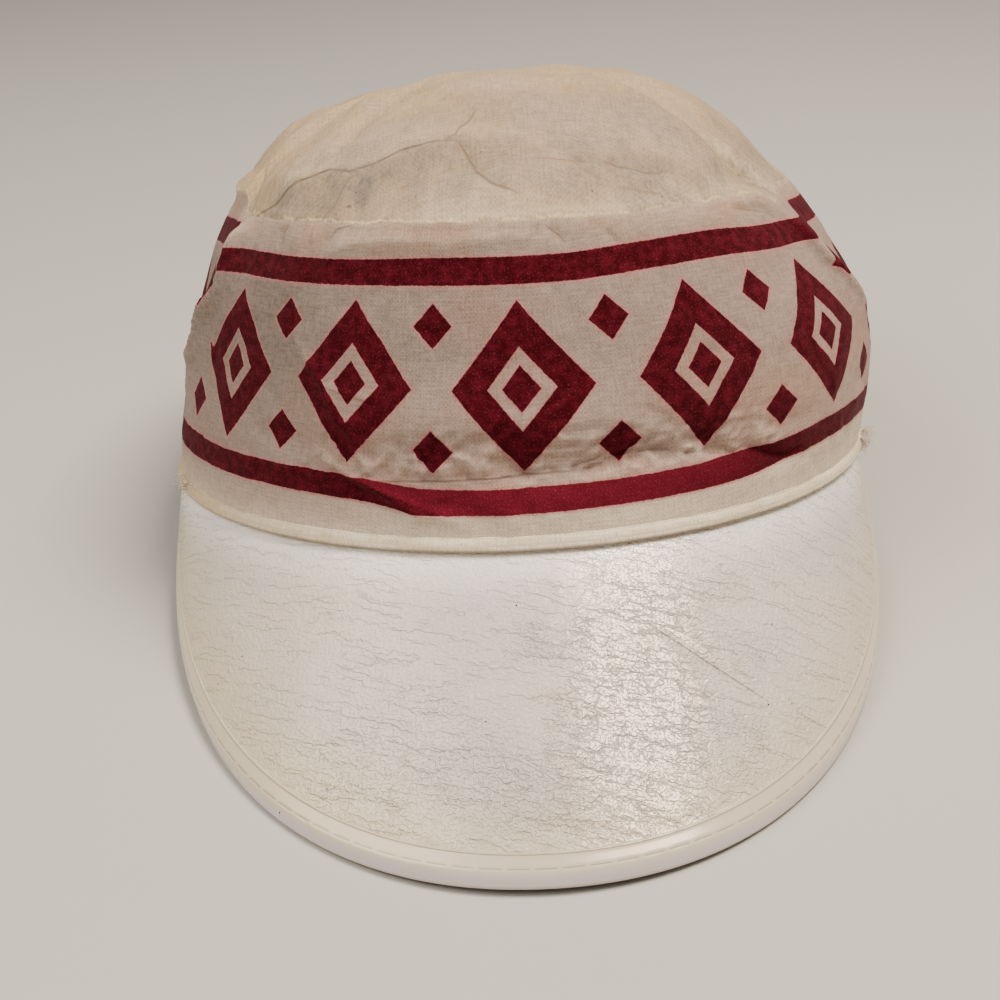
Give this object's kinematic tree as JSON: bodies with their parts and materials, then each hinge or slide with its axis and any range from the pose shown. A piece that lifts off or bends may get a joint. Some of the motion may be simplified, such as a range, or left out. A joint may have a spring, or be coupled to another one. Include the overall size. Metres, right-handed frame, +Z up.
{
  "type": "painter cap",
  "caption": "Soft cloth cap with a striped wall band, a domed oval top, a rolled hem and a wide moulded peak, resting on a flat surface.",
  "frame": {"origin": "middle of the whole cap's footprint, on the surface that it rests on", "axes": "+Z up, the peak points along -Y, +X to the right when looking along +Y"},
  "size_m": [0.1822, 0.255, 0.1184],
  "materials": {
    "printed_cotton": "plain woven cotton, screen printed stripes",
    "cotton": "plain woven cotton, yellowed with age",
    "rolled_cotton": "folded and rolled cotton",
    "moulded_peak": "moulded white vinyl with a leather grain"
  },
  "bodies": {
    "root": {"band": "printed_cotton", "crown_top": "cotton", "hem": "rolled_cotton", "bill": "moulded_peak"}
  },
  "joints": []
}
